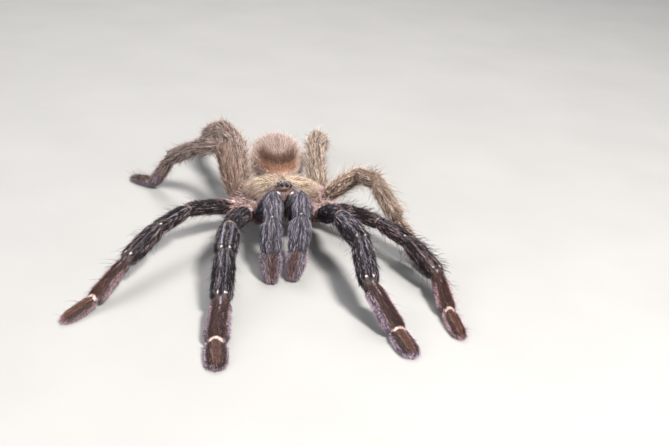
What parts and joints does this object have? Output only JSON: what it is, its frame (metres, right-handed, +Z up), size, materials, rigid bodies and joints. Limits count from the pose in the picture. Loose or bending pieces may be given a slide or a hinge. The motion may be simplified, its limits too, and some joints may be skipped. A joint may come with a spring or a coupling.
{
  "type": "tarantula model",
  "caption": "Life-size still model of a pink toe tarantula standing on all its feet, palps forward, hairy, with pale toe fringes.",
  "frame": {"origin": "on the floor, below the middle of the space that the animal takes up", "axes": "+Z up, -Y the way the spider faces, +X its own left side"},
  "size_m": [0.0692, 0.1078, 0.0164],
  "materials": {
    "front_leg": "dark brown-black hair with a purple-grey sheen",
    "rear_leg": "tan-brown hair over bare brown stripes",
    "foot": "rust-brown hair with pinkish-lilac fringes",
    "palp": "slate and purple-grey hair",
    "carapace": "short golden-tan hair",
    "underside": "pinkish-tan hair",
    "eyes": "clear black lenses on a dark mound",
    "chelicera": "dark slate with short hair",
    "fang": "polished black",
    "abdomen": "long grey-tan hair with a rust-brown patch in front",
    "spinneret": "dark brown short hair"
  },
  "bodies": {
    "root": {"leg_1_right_femur": "front_leg", "leg_1_right_patella": "front_leg", "leg_1_right_tibia": "front_leg", "leg_1_right_metatarsus": "foot", "leg_1_right_tarsus": "foot", "leg_2_right_femur": "front_leg", "leg_2_right_patella": "front_leg", "leg_2_right_tibia": "front_leg", "leg_2_right_metatarsus": "foot", "leg_2_right_tarsus": "foot", "leg_3_right_femur": "rear_leg", "leg_3_right_patella": "rear_leg", "leg_3_right_tibia": "rear_leg", "leg_3_right_metatarsus": "foot", "leg_3_right_tarsus": "foot", "leg_4_right_femur": "rear_leg", "leg_4_right_patella": "rear_leg", "leg_4_right_tibia": "rear_leg", "leg_4_right_metatarsus": "foot", "leg_4_right_tarsus": "foot", "palp_right_femur": "palp", "palp_right_patella": "palp", "palp_right_tibia": "palp", "palp_right_tarsus": "palp", "leg_1_left_femur": "front_leg", "leg_1_left_patella": "front_leg", "leg_1_left_tibia": "front_leg", "leg_1_left_metatarsus": "foot", "leg_1_left_tarsus": "foot", "leg_2_left_femur": "front_leg", "leg_2_left_patella": "front_leg", "leg_2_left_tibia": "front_leg", "leg_2_left_metatarsus": "foot", "leg_2_left_tarsus": "foot", "leg_3_left_femur": "rear_leg", "leg_3_left_patella": "rear_leg", "leg_3_left_tibia": "rear_leg", "leg_3_left_metatarsus": "foot", "leg_3_left_tarsus": "foot", "leg_4_left_femur": "rear_leg", "leg_4_left_patella": "rear_leg", "leg_4_left_tibia": "rear_leg", "leg_4_left_metatarsus": "foot", "leg_4_left_tarsus": "foot", "palp_left_femur": "palp", "palp_left_patella": "palp", "palp_left_tibia": "palp", "palp_left_tarsus": "palp", "carapace": "carapace", "eyes": "eyes", "coxae": "underside", "chelicera_right": "chelicera", "fang_right": "fang", "chelicera_left": "chelicera", "fang_left": "fang", "abdomen": "abdomen", "pedicel": "underside", "spinneret_right": "spinneret", "spinneret_left": "spinneret"}
  },
  "joints": []
}
